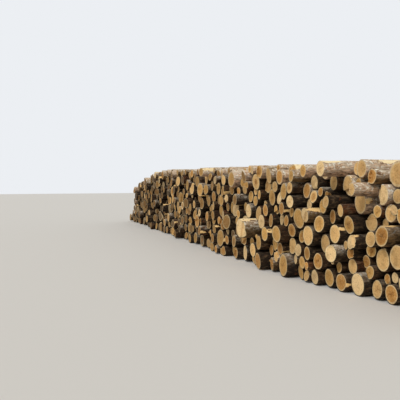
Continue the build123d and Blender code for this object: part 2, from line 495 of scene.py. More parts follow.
    def break_step(self, end: float, kind: EndKind) -> None:
        """Leave the step or the torn fibres of a felling cut.

        Args:
            end: Where the end lies along the log.
            kind: STEPPED or TORN.
        """
        for height in (self.step_line, self.step_line + self.step_band):
            self.select_end(end)
            bpy.ops.mesh.bisect(plane_co=(0.0, 0.0, height), plane_no=(0.0, 0.0, 1.0))
        middle = self.step_line + self.step_band / 2.0
        if kind is EndKind.STEPPED:
            low, high, reach, move = middle, BEYOND, BEYOND, -self.step_depth
        else:
            low, high, reach, move = self.step_line - STEP_REACH, middle, self.torn_reach, self.torn_height
        self.select("VERT", lambda vert: self.level(vert, end) and low < vert.co.z < high
                    and math.hypot(vert.co.x, vert.co.z) < reach)
        outward = -1.0 if end < STEM_LENGTH / 2.0 else 1.0
        bpy.ops.transform.translate(value=(0.0, outward * move, 0.0))
        bpy.ops.transform.vertex_random(offset=self.fibre_play, seed=self.fibre_seed)

    def mark_faces(self) -> None:
        """Give the sawn faces the second material and the bark the first."""
        for face in self.thing.data.polygons:
            flat = abs(face.normal.y) > SAWN_FACING
            inner = math.hypot(face.center.x, face.center.z) < BARK_EDGE
            face.material_index = 1 if flat and inner else 0


class Wiring:
    """A short way to write a tree of nodes."""

    def __init__(self, tree: bpy.types.NodeTree) -> None:
        """Start with an empty tree.

        Args:
            tree: The tree, which is cleared.
        """
        self.tree = tree
        tree.nodes.clear()

    def add(self, kind: str, inputs: dict | None = None, **settings: object) -> bpy.types.Node:
        """Add a node.

        Args:
            kind: The node's type.
            inputs: Values or sockets for its inputs.
            settings: Properties of the node.

        Returns:
            The node.
        """
        node = self.tree.nodes.new(kind)
        for key, value in settings.items():
            setattr(node, key, value)
        for key, value in (inputs or {}).items():
            if isinstance(value, bpy.types.NodeSocket):
                self.tree.links.new(value, node.inputs[key])
            else:
                node.inputs[key].default_value = value
        return node

    def math(self, operation: str, *values: object) -> Socket:
        """Work out one sum and return its socket."""
        return self.add("ShaderNodeMath", dict(enumerate(values)), operation=operation).outputs[0]

    def span(self, value: object, low: float, high: float, to_low: float = 0.0,
             to_high: float = 1.0) -> Socket:
        """Map a value smoothly from the range of low to high to that of to_low to to_high."""
        inputs = {0: value, 1: low, 2: high, 3: to_low, 4: to_high}
        return self.add("ShaderNodeMapRange", inputs, interpolation_type="SMOOTHSTEP").outputs[0]

    def mix(self, share: object, first: object, second: object, blend: str = "MIX") -> Socket:
        """Mix a share of a second colour into a first one."""
        inputs = {0: share, 6: first, 7: second}
        return self.add("ShaderNodeMix", inputs, data_type="RGBA", blend_type=blend).outputs[2]

    def layers(self, colour: object, rows: tuple) -> Socket:
        """Lay colours over one another, each where a value passes through a range.

        Args:
            colour: The colour at the bottom.
            rows: Each layer's colour, the value, both ends of its range, and the layer's share there.

        Returns:
            The colour of all layers.
        """
        for layer, value, low, high, to_low, to_high in rows:
            colour = self.mix(self.span(value, low, high, to_low, to_high), colour, layer)
        return colour

    def noise(self, vector: object, scale: float, detail: float, roughness: float) -> Socket:
        """Return a noise over a vector."""
        inputs = {"Vector": vector, "Scale": scale, "Detail": detail, "Roughness": roughness}
        return self.add("ShaderNodeTexNoise", inputs).outputs[0]

    def attribute(self, name: str) -> bpy.types.Node:
        """Return the node of a named attribute."""
        return self.add("ShaderNodeAttribute", attribute_name=name)

    def channels(self, name: str) -> tuple[Socket, ...]:
        """Return the red, green and blue of a named attribute."""
        colour = self.attribute(name).outputs["Color"]
        return tuple(self.add("ShaderNodeSeparateColor", {0: colour}).outputs)

    def play(self, value: object, middle: float, size: float) -> Socket:
        """Return how far a value lies from its middle, times a size."""
        return self.math("MULTIPLY", self.math("SUBTRACT", value, middle), size)

    def stretched(self, vector: object, scale: tuple[float, float, float], shift: object) -> Socket:
        """Scale a vector along each axis and then shift it."""
        scaled = self.add("ShaderNodeVectorMath", {0: vector, 1: scale}, operation="MULTIPLY").outputs[0]
        return self.add("ShaderNodeVectorMath", {0: scaled, 1: shift}, operation="ADD").outputs[0]


class Graph(Wiring):
    """The nodes of one material."""

    def __init__(self, name: str) -> None:
        """Start a material with its shader and its output.

        Args:
            name: The material's name.
        """
        self.material = bpy.data.materials.new(name)
        self.material.use_nodes = True
        super().__init__(self.material.node_tree)
        self.shader = self.add("ShaderNodeBsdfPrincipled")
        self.add("ShaderNodeOutputMaterial", {0: self.shader.outputs[0]})

    def finish(self, colour: Socket, height: Socket, bump: tuple[float, float], roughness: float,
               shine: float) -> bpy.types.Material:
        """Connect a material's colour and relief, and set its gloss.

        Args:
            colour: The colour.
            height: The height of the relief.
            bump: Depth and strength of the relief.
            roughness: The roughness.
            shine: The specular level.

        Returns:
            The material.
        """
        relief = self.add("ShaderNodeBump", {"Height": height, "Distance": bump[0], "Strength": bump[1]})
        self.tree.links.new(relief.outputs[0], self.shader.inputs["Normal"])
        self.tree.links.new(colour, self.shader.inputs["Base Color"])
        self.shader.inputs["Roughness"].default_value = roughness
        self.shader.inputs["Specular IOR Level"].default_value = shine
        return self.material


class WoodTone(Enum):
    """Colours that sawn pine has in the heap, from long dried to freshly cut."""

    WEATHERED = linear(110, 88, 62)
    STAINED = linear(171, 127, 68)
    AMBER = linear(202, 146, 75)
    GOLDEN = linear(226, 175, 99)
    TAN = linear(240, 194, 127)
    PALE = linear(254, 218, 160)


class BarkTone(Enum):
    """Colours that the bark has in the heap."""

    SLATE = linear(57, 46, 33)
    BROWN = linear(76, 54, 34)
    RUSSET = linear(98, 60, 34)
    OCHRE = linear(122, 96, 60)
    PINK = linear(206, 174, 144)
    ROSE = linear(222, 186, 156)


# Where a bare patch ends, in half sizes; it is whole up to one less
PATCH_REACH = 1.7


@dataclass(frozen=True)
class BarePatch:
    """A place where the bark has come off.

    Attributes:
        turn: Its middle round the log in degrees, where 0 faces the near end and 90 is the top.
        half_turn: Half its width in degrees.
        start: Its distance from the front end in metres.
        length: Its length in metres.
    """

    turn: float
    half_turn: float
    start: float
    length: float

    def mask(self, angle: Array, run: Array) -> Array:
        """Work out how bare the log is at places on its side.

        Args:
            angle: Place round the log.
            run: Distance from the front end.

        Returns:
            Shares from 0 to 1.
        """
        off = np.abs((angle - math.radians(self.turn) + math.pi) % FULL_TURN - math.pi)
        round_it = np.clip(PATCH_REACH - off / math.radians(self.half_turn), 0.0, 1.0)
        middle = self.start + self.length / 2.0
        along = np.clip(PATCH_REACH - np.abs(run - middle) / (self.length / 2.0), 0.0, 1.0)
        return round_it * along


@dataclass(frozen=True)
class Mark:
    """What sets one log apart from its neighbours.

    Attributes:
        distance: How far the log lies from the near toe of the heap.
        height: Height of its axis.
        wood: Colour of its sawn ends.
        bark: Colour of its bark.
        wear_and_sky_light: How weathered its bark is, which also paints sky light on it.
        heart: How much darker its heart is.
        patches: Where its bark has come off.
    """

    distance: float
    height: float
    wood: WoodTone
    bark: BarkTone
    wear_and_sky_light: float
    heart: float
    patches: tuple[BarePatch, ...]

    def miss(self, stem: Stem) -> float:
        """Return how far a log lies from the marked place."""
        return math.hypot(NEAR_TOE_X - stem.x - self.distance, stem.z - self.height)


# The logs that stand out in the photograph, each with what a Mark holds, its patches last
MARK_ROWS = (
    (2.41, 1.73, "TAN", "PINK", 1.0, 0.2, (62, 24, 0.22, 0.32)),
    (2.19, 1.62, "AMBER", "OCHRE", 0.75, 0.5),
    (1.90, 1.65, "TAN", "PINK", 0.9, 0.3),
    (2.50, 1.26, "TAN", "PINK", 0.8, 0.1, (12, 15, -0.02, 0.14), (62, 12, 0.08, 0.3)),
    (2.09, 1.38, "PALE", "PINK", 1.0, 0.1),
    (2.35, 1.01, "TAN", "SLATE", 0.2, 0.1),
    (1.96, 0.87, "AMBER", "OCHRE", 0.4, 0.8, (80, 14, 0.0, 0.5)),
    (3.24, 1.71, "PALE", "ROSE", 1.0, 0.0, (70, 22, -0.05, 0.42)),
    (2.91, 1.73, "PALE", "ROSE", 1.0, 0.1, (72, 22, 0.0, 0.25)),
    (3.05, 1.54, "TAN", "BROWN", 0.3, 0.0),
    (2.76, 1.50, "TAN", "PINK", 1.0, 0.1, (62, 14, -0.05, 0.12)),
    (2.32, 1.45, "TAN", "PINK", 1.0, 0.2),
    (2.77, 1.15, "TAN", "RUSSET", 0.2, 0.0),
    (3.22, 1.19, "GOLDEN", "SLATE", 0.1, 0.1),
    (2.96, 1.05, "AMBER", "SLATE", 0.1, 0.9),
    (2.62, 0.96, "GOLDEN", "SLATE", 0.1, 0.5),
    (2.87, 0.81, "TAN", "SLATE", 0.1, 0.1, (38, 9, -0.03, 0.08)),
    (2.85, 0.54, "PALE", "SLATE", 0.5, 0.0),
    (2.77, 0.14, "AMBER", "SLATE", 0.2, 0.5, (-5, 8, 0.0, 0.2)),
    (2.46, 0.16, "PALE", "SLATE", 0.4, 0.0),
    (2.66, 0.37, "TAN", "RUSSET", 0.2, 0.0),
    (2.17, 0.15, "TAN", "SLATE", 0.2, 0.2),
    (1.90, 0.14, "AMBER", "SLATE", 0.2, 0.7),
    (2.08, 0.54, "TAN", "BROWN", 0.2, 0.1),
    (3.69, 0.98, "GOLDEN", "BROWN", 0.2, 0.1),
    (3.41, 1.05, "PALE", "OCHRE", 0.5, 0.0, (60, 26, 0.05, 0.3)),
    (3.98, 1.69, "GOLDEN", "PINK", 1.0, 0.2, (60, 40, 0.0, 0.9)),
    (4.08, 1.38, "GOLDEN", "SLATE", 0.5, 0.1),
    (4.06, 0.20, "GOLDEN", "SLATE", 0.4, 0.2),
    (5.28, 0.69, "PALE", "OCHRE", 0.7, 0.0, (75, 20, 0.0, 0.9)),
    (7.66, 1.73, "GOLDEN", "ROSE", 1.0, 0.2, (50, 34, 0.05, 1.1)),
    (1.97, 1.15, "TAN", "PINK", 0.7, 0.1, (25, 16, -0.05, 0.22)),
    (2.52, 0.73, "PALE", "SLATE", 0.2, 0.0, (60, 14, -0.03, 0.14)),
    (2.60, 0.56, "AMBER", "SLATE", 0.1, 0.5),
    (2.45, 0.46, "AMBER", "BROWN", 0.1, 0.7),
    (3.42, 0.74, "TAN", "SLATE", 0.3, 0.0),
    (3.11, 0.64, "TAN", "SLATE", 0.2, 0.1),
    (3.18, 0.93, "GOLDEN", "SLATE", 0.2, 0.4),
    (3.22, 0.37, "AMBER", "BROWN", 0.1, 0.4),
    (3.61, 1.41, "AMBER", "PINK", 0.6, 0.2),
    (1.75, 0.63, "TAN", "BROWN", 0.2, 0.1),
    (2.21, 0.80, "TAN", "SLATE", 0.2, 0.1),
    (4.73, 1.05, "AMBER", "SLATE", 0.2, 0.8),
    (5.22, 1.19, "GOLDEN", "SLATE", 0.2, 0.0),
    (5.42, 0.99, "PALE", "SLATE", 0.4, 0.0),
    (5.10, 0.31, "TAN", "SLATE", 0.2, 0.1),
    (4.32, 1.27, "PALE", "SLATE", 0.3, 0.0),
    (3.83, 1.23, "PALE", "SLATE", 0.2, 0.1),
    (3.90, 0.77, "AMBER", "SLATE", 0.2, 0.5),
    (4.67, 0.64, "GOLDEN", "SLATE", 0.2, 0.1, (30, 14, -0.03, 0.16)),
    (4.17, 1.10, "AMBER", "SLATE", 0.2, 0.3, (-20, 14, -0.03, 0.12)),
    (4.39, 0.28, "TAN", "PINK", 0.8, 0.1, (80, 12, -0.03, 0.2)),
)
MARKS = tuple(
    Mark(distance, height, WoodTone[wood], BarkTone[bark], wear_and_sky_light, heart, tuple(BarePatch(*p) for p in patches))
    for distance, height, wood, bark, wear_and_sky_light, heart, *patches in MARK_ROWS)

# How near its mark a log's axis lies
MARK_REACH = 0.09


@dataclass(frozen=True)
class BarkFinish:
    """Dark, plated pine bark with worn, pale and bare places; its worn, pale places also carry painted sky
    light on upper sides, and its near-black fissures carry painted shade in the cracks.
    """

    fissure_and_shade: Colour = linear(18, 13, 8)
    light_plate: Colour = linear(126, 106, 80)
    weathered: Colour = linear(214, 187, 156)
    bleached: Colour = linear(236, 224, 202)
    pit_and_furrow_shade: Colour = linear(126, 98, 72)
    inner_bark: Colour = linear(128, 76, 44)
    bare_wood: Colour = linear(255, 238, 196)
    fresh_wood: Colour = linear(255, 214, 144)
    bare_streak: Colour = linear(244, 208, 150)
    lichen: Colour = linear(246, 242, 228)
    spread: float = 57.0
    roughness: float = 0.88
    shine: float = 0.2
    bump: tuple[float, float] = (0.012, 0.8)

    def material(self) -> bpy.types.Material:
        """Build the bark's material.

        Returns:
            The material.
        """
        graph = Graph("pine_bark")
        place = graph.add("ShaderNodeTexCoord").outputs["Object"]
        # The bark's base colour carries each log's painted light and shade
        base = graph.attribute("lit_bark_base").outputs["Color"]
        tone, bare, wear_and_sky_light = graph.channels("bark_look")
        shift = graph.math("MULTIPLY", tone, self.spread)
        cells_place = graph.stretched(place, (1.0, 0.2, 1.0), shift)
        wobble = graph.noise(cells_place, 45.0, 4.0, 0.65)
        warped = graph.stretched(cells_place, (1.0, 1.0, 1.0), graph.math("MULTIPLY", wobble, 0.05))
        cells = graph.add("ShaderNodeTexVoronoi", {"Vector": warped, "Scale": 38.0},
                          feature="DISTANCE_TO_EDGE")
        edge = graph.math("ADD", cells.outputs["Distance"], graph.math("MULTIPLY", wobble, 0.5))
        plate_share = graph.span(edge, 0.2, 0.42, 0.25, 1.0)
        # Each noise's scale along the logs, then its scale, detail and roughness
        broad, fine, mottle, flecks, flakes, streaks = (
            graph.noise(graph.stretched(place, (1.0, along, 1.0), shift), *size)
            for along, *size in (
                (0.35, 6.0, 4.0, 0.6), (0.4, 95.0, 3.0, 0.7), (0.45, 21.0, 3.0, 0.6),
                (0.7, 31.0, 2.0, 0.55), (0.5, 11.0, 4.0, 0.7), (0.06, 70.0, 2.0, 0.5)))
        plates = graph.layers(base, (
            (self.fissure_and_shade, broad, 0.35, 0.7, 0.0, 0.45),
            (self.light_plate, mottle, 0.5, 0.64, 0.0, 0.5),
            (self.fissure_and_shade, mottle, 0.34, 0.46, 0.6, 0.0),
            (self.inner_bark, fine, 0.45, 0.8, 0.0, 0.3)))
        # Worn, bleached bark with lichen, laid on where the wear attribute is high; as that follows the open
        # sky and the upper side, it is partly weathering and partly painted sky light
        worn_sky_lit_bark = graph.layers(base, (
            (self.bleached, mottle, 0.42, 0.6, 0.0, 1.0),
            (self.weathered, broad, 0.35, 0.65, 0.1, 0.7),
            (self.pit_and_furrow_shade, mottle, 0.3, 0.4, 0.7, 0.0),
            # Darker towards the cracks between plates: partly the furrows' own colour, partly painted shade
            (self.pit_and_furrow_shade, plate_share, 0.3, 0.9, 0.4, 0.0),
            (self.inner_bark, flakes, 0.6, 0.66, 0.0, 0.5),
            (self.lichen, flecks, 0.56, 0.61, 0.0, 0.9)))
        uneven = graph.math("ADD", graph.play(flakes, 0.54, 2.4), graph.play(mottle, 0.5, 1.6))
        ragged = graph.math("ADD", bare, graph.math("MULTIPLY", uneven, graph.span(bare, 0.0, 0.25)))
        # Bare wood is paler where the wear attribute is high, partly painted sky light
        wood = graph.layers(self.fresh_wood, (
            (self.bare_wood, wear_and_sky_light, 0.45, 0.8, 0.0, 1.0),
            (self.bare_streak, streaks, 0.35, 0.75, 0.0, 0.8)))
        # Painted shade: the near-black fissure colour fills the cracks between the bark plates, partly the
        # furrows' own dark colour and partly shade
        colour = graph.layers(graph.mix(plate_share, self.fissure_and_shade, plates), (
            (self.inner_bark, flakes, 0.62, 0.67, 0.0, 0.6),
            (worn_sky_lit_bark, wear_and_sky_light, 0.05, 0.7, 0.0, 1.0),
            (self.inner_bark, ragged, 0.32, 0.42, 0.0, 1.0),
            (wood, ragged, 0.42, 0.52, 0.0, 1.0)))
        height = graph.math("ADD", plate_share, graph.math("MULTIPLY", fine, 0.4))
        height = graph.math("MULTIPLY", height, graph.span(ragged, 0.35, 0.55, 1.0, 0.15))
        return graph.finish(colour, height, self.bump, self.roughness, self.shine)


@dataclass(frozen=True)
class SawnFinish:
    """Sawn pine end grain, with its heart, rings, checks and weather stains."""

    heart: Colour = linear(174, 119, 55)
    cream: Colour = linear(241, 217, 167)
    stain: Colour = linear(136, 97, 51)
    check: Colour = linear(58, 38, 24)
    ring_width: float = 0.0056
    check_rays: float = 7.0
    spread: float = 91.0
    roughness: float = 0.82
    shine: float = 0.25
    bump: tuple[float, float] = (0.004, 0.7)

    def material(self) -> bpy.types.Material:
        """Build the sawn wood's material.

        Returns:
            The material.
        """
        graph = Graph("sawn_pine")
        grain = graph.add("ShaderNodeUVMap", uv_map="grain").outputs[0]
        base = graph.attribute("cut_base").outputs["Color"]
        tone, heart_share, heart_strength = graph.channels("cut_look")
        across = graph.attribute("across").outputs["Fac"]
        shift = graph.math("MULTIPLY", tone, self.spread)
        place = graph.stretched(grain, (1.0, 1.0, 1.0), shift)
        slow = graph.noise(place, 8.0, 3.0, 0.55)
        quick = graph.noise(place, 42.0, 4.0, 0.7)
        distance = graph.add("ShaderNodeVectorMath", {0: grain}, operation="LENGTH").outputs["Value"]
        bent = graph.math("ADD", distance, graph.math("MULTIPLY", slow, 0.03))
        wave = graph.math("SINE", graph.math("MULTIPLY", bent, FULL_TURN / self.ring_width))
        inside = graph.math("ADD", across, graph.play(slow, 0.5, 0.3))
        past_heart = graph.math("SUBTRACT", inside, heart_share)
        in_heart = graph.math("MULTIPLY", graph.span(past_heart, -0.1, 0.06, 1.0, 0.0), heart_strength)
        wood = graph.layers(graph.mix(in_heart, base, self.heart), (
            (self.heart, wave, -0.4, 1.0, 0.0, 0.16),
            (self.cream, inside, 0.76, 0.85, 0.0, 0.7),
            (self.heart, across, 0.918, 0.934, 0.0, 0.4),
            (self.stain, slow, 0.45, 0.75, 0.0, 0.45),
            (self.stain, quick, 0.5, 0.72, 0.0, 0.5),
            (self.cream, quick, 0.3, 0.5, 0.35, 0.0),
            (self.check, distance, 0.003, 0.008, 0.5, 0.0)))
        split = graph.add("ShaderNodeSeparateXYZ", {0: grain})
        turn = graph.math("ARCTAN2", split.outputs[1], split.outputs[0])
        rays = graph.math("ADD", graph.math("MULTIPLY", turn, self.check_rays / FULL_TURN), shift)
        rays = graph.math("ADD", rays, graph.math("MULTIPLY", slow, 1.1))
        off_ray = graph.math("ABSOLUTE", graph.math("SUBTRACT", graph.math("FRACT", rays), 0.5))
        off_ray = graph.math("MULTIPLY", off_ray, distance)
        crack = graph.span(off_ray, 0.0004, 0.0014, 1.0, 0.0)
        crack = graph.math("MULTIPLY", crack, graph.span(graph.noise(place, 14.0, 1.0, 0.5), 0.52, 0.62))
        wood = graph.mix(graph.math("MULTIPLY", crack, 0.7), wood, self.check)
        # Painted shade: the light attribute darkens the sawn ends, most of all far along the heap
        wood = graph.mix(1.0, wood, graph.attribute("light").outputs["Fac"], "MULTIPLY")
        saw = graph.noise(graph.stretched(grain, (1.0, 9.0, 1.0), shift), 45.0, 2.0, 0.6)
        height = graph.math("SUBTRACT", graph.math("ADD", saw, graph.math("MULTIPLY", wave, 0.1)), crack)
        return graph.finish(wood, height, self.bump, self.roughness, self.shine)


# Wood: how far along the heap weathered and stained ends begin, partly the wood's own tones and partly
# painted shade over the far part, and how common the fresher tones are
WEATHERED_AND_SHADED_FROM = 0.35
WEATHERED_AND_SHADED_GAIN = 1.2
STAINED_AND_SHADED_FROM = 0.2
FRESH_WOOD = (0.22, 0.38, 0.24, 0.11)

# Bark: how common its tones are on covered logs, and the tones of logs open to the sky, mostly light ones
# that partly paint the sky light on them
BURIED_BARK = {BarkTone.SLATE: 0.5, BarkTone.BROWN: 0.3, BarkTone.RUSSET: 0.14, BarkTone.OCHRE: 0.06}
OPEN_BARK = (BarkTone.PINK, BarkTone.OCHRE, BarkTone.ROSE)

# Weathering and painted sky light: its range on open logs, its least and its steps on covered ones, and where
# it shows, most on the upper side
OPEN_WEAR_AND_LIGHT = (0.55, 1.0)
SKY_WEAR_AND_LIGHT = 1.6
BURIED_WEAR = (0.0, 0.05, 0.1, 0.15, 0.2, 0.45)
WEAR_ALL_ROUND, WEAR_AND_LIGHT_ON_TOP = 0.6, 0.8

# Hearts: how dark pale and dark ones are, how common dark ones are, and how far hearts reach
PALE_HEART, DARK_HEART = (0.0, 0.25), (0.5, 0.9)
DARK_HEARTS = 0.2
HEART_SHARES = (0.35, 0.7)

# Painted light and shade: how few sawn ends are painted well lit, the level they are painted at near by and
# how much painted shade darkens them along the heap, and the painted light on bark open to the sky and on
# covered bark, which painted shade darkens along the heap
FEW_LIT_ENDS = 1.5
SHADED_END_LEVEL, LIT_END_GAIN = 0.88, 0.12
FAR_END_SHADE, LIT_END_SPARED = 0.9, 0.75
OPEN_BARK_LIGHT = 1.15
BURIED_BARK_LIGHT, BARK_SHADE_ALONG_HEAP = 1.1, 0.8

# Bare patches: how common they are, and the ranges of their turn, half turn, start and length
OPEN_PATCHES = 0.45
BURIED_PATCHES = 0.08
MORE_PATCHES_FAR = 0.16
OPEN_PATCH = ((50, 130), (14, 36), (-0.1, 2.6), (0.25, 1.5))
BURIED_PATCH = ((-100, 100), (8, 18), (0.06, 0.2))
BURIED_PATCH_START = -0.05


@dataclass
class LogLook:
    """How one log looks, by chance or by its mark.

    Attributes:
        wood: Colour of its sawn ends.
        bark: Colour of its bark, with painted light on logs open to the sky and painted shade on covered
            ones.
        wear_and_sky_light: How weathered its open side is, which also paints the sky light on it.
        heart: How much darker its heart is.
        heart_share: How far its heart reaches.
        patches: Where its bark has come off.
        tone: The log's own place in the patterns.
        light: How light its sawn ends are painted: painted shade that darkens them, most of all far along the
            heap.
    """

    wood: tuple[float, ...]
    bark: tuple[float, ...]
    wear_and_sky_light: float
    heart: float
    heart_share: float
    patches: tuple[BarePatch, ...]
    tone: float
    light: float

    @staticmethod
    def choose(chance: random.Random, sky: float, far: float, mark: Mark | None) -> "LogLook":
        """Choose a log's look.

        Args:
            chance: The log's own chance.
            sky: Share of the sky that the log's upper side lies open to.
            far: How far along the heap the log lies, from 0 to 1, where its sawn ends and covered bark get
                more painted shade.
            mark: What sets the log apart, if anything does.

        Returns:
            The look.
        """
        top = sky > OPEN_SKY
        # Weathered and stained tones grow commoner along the heap: partly the wood's own tones, partly
        # painted shade over the far part
        weights = [WEATHERED_AND_SHADED_GAIN * max(0.0, far - WEATHERED_AND_SHADED_FROM), max(0.0, far - STAINED_AND_SHADED_FROM), *FRESH_WOOD]
        wood = chance.choices(list(WoodTone), weights)[0]
        bark = chance.choices(list(BURIED_BARK), list(BURIED_BARK.values()))[0]
        # Logs open to the sky get bark tones that are mostly light, partly painted sky light
        bark = chance.choice(OPEN_BARK) if top else bark
        # A covered log's least wear follows its share of open sky, and partly paints the sky light on it
        wear_and_sky_light = chance.uniform(*OPEN_WEAR_AND_LIGHT) if top else max(SKY_WEAR_AND_LIGHT * sky, chance.choice(BURIED_WEAR))
        pale, dark = chance.uniform(*PALE_HEART), chance.uniform(*DARK_HEART)
        heart = chance.choices([pale, dark], [1.0 - DARK_HEARTS, DARK_HEARTS])[0]
        patches: tuple[BarePatch, ...] = ()
        if top and chance.random() < OPEN_PATCHES:
            patches = (BarePatch(*(chance.uniform(*ends) for ends in OPEN_PATCH)),)
        elif chance.random() < BURIED_PATCHES + MORE_PATCHES_FAR * far:
            turn, half_turn, length = (chance.uniform(*ends) for ends in BURIED_PATCH)
            patches = (BarePatch(turn, half_turn, BURIED_PATCH_START, length),)
        if mark:
            wood, bark, wear_and_sky_light, heart, patches = mark.wood, mark.bark, mark.wear_and_sky_light, mark.heart, mark.patches
        # Painted shade: sawn ends are painted darker along the heap, least on the few ends that the chance
        # leaves well lit
        lit_share = chance.random() ** FEW_LIT_ENDS
        light = (SHADED_END_LEVEL + LIT_END_GAIN * lit_share) * (1.0 - (FAR_END_SHADE - LIT_END_SPARED * lit_share) * far)
        # Painted light and shade on the bark: brighter on logs open to the sky, and on covered logs darker
        # along the heap
        painted_bark_light = OPEN_BARK_LIGHT if top else BURIED_BARK_LIGHT - BARK_SHADE_ALONG_HEAP * far
        lit_bark_colour = tuple(channel * painted_bark_light for channel in bark.value[:3])
        return LogLook(wood.value[:3], lit_bark_colour, wear_and_sky_light, heart, chance.uniform(*HEART_SHARES), patches,
                       chance.random(), light)

    def bareness(self, angle: Array, run: Array) -> Array:
        """Return how bare the log is at places on its side."""
        return np.maximum.reduce([np.zeros_like(angle), *(patch.mask(angle, run) for patch in self.patches)])

    def weathering_and_sky_light(self, angle: Array, across: Array) -> Array:
        """Return how weathered the log is at places on it, with painted sky light, most of all on its upper
        side.
        """
        upward = np.clip(WEAR_ALL_ROUND * self.wear_and_sky_light + WEAR_AND_LIGHT_ON_TOP * np.sin(angle), 0.0, 1.0)
        return upward * np.clip(across, 0.0, 1.0) * self.wear_and_sky_light


